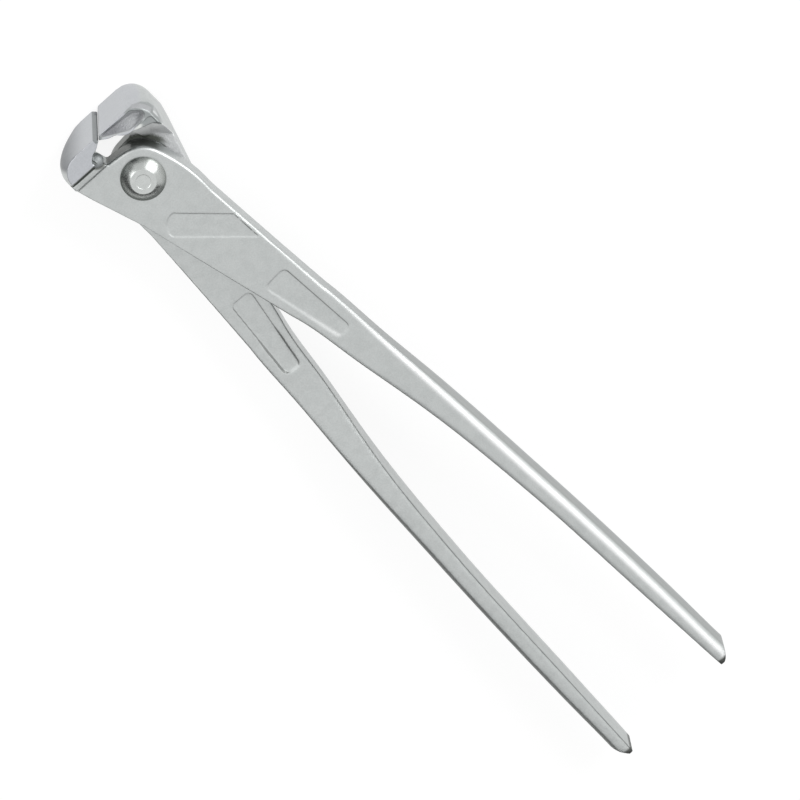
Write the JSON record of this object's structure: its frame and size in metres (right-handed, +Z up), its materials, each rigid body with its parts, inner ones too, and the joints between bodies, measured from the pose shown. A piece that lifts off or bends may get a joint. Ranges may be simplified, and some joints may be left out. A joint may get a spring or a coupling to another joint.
{
  "type": "rebar tying pliers",
  "caption": "Forged steel end-cutting pliers for tying wire, with long slender handles, a short wide head and a raised rivet at the pivot.",
  "frame": {"origin": "under the middle of the footprint, on the surface the tool lies on", "axes": "+Y along the tool towards the cutting edges, +X to the right with the head up, +Z up out of the surface, along the rivet"},
  "size_m": [0.0464, 0.25, 0.025],
  "materials": {
    "forged_steel": "bright zinc plate over a fine forged surface, ground bare at the jaws",
    "rivet_steel": "polished zinc plate"
  },
  "bodies": {
    "rear_half": {"rear_lever": "forged_steel", "pivot_rivet": "rivet_steel"},
    "front_half": {"front_lever": "forged_steel"}
  },
  "joints": [
    {"name": "pivot", "type": "hinge", "parent": "rear_half", "child": "front_half", "pos_m": [0, 0.1055, 0.0125], "axis": [0, 0, 1], "range_deg": [0, 40]}
  ]
}
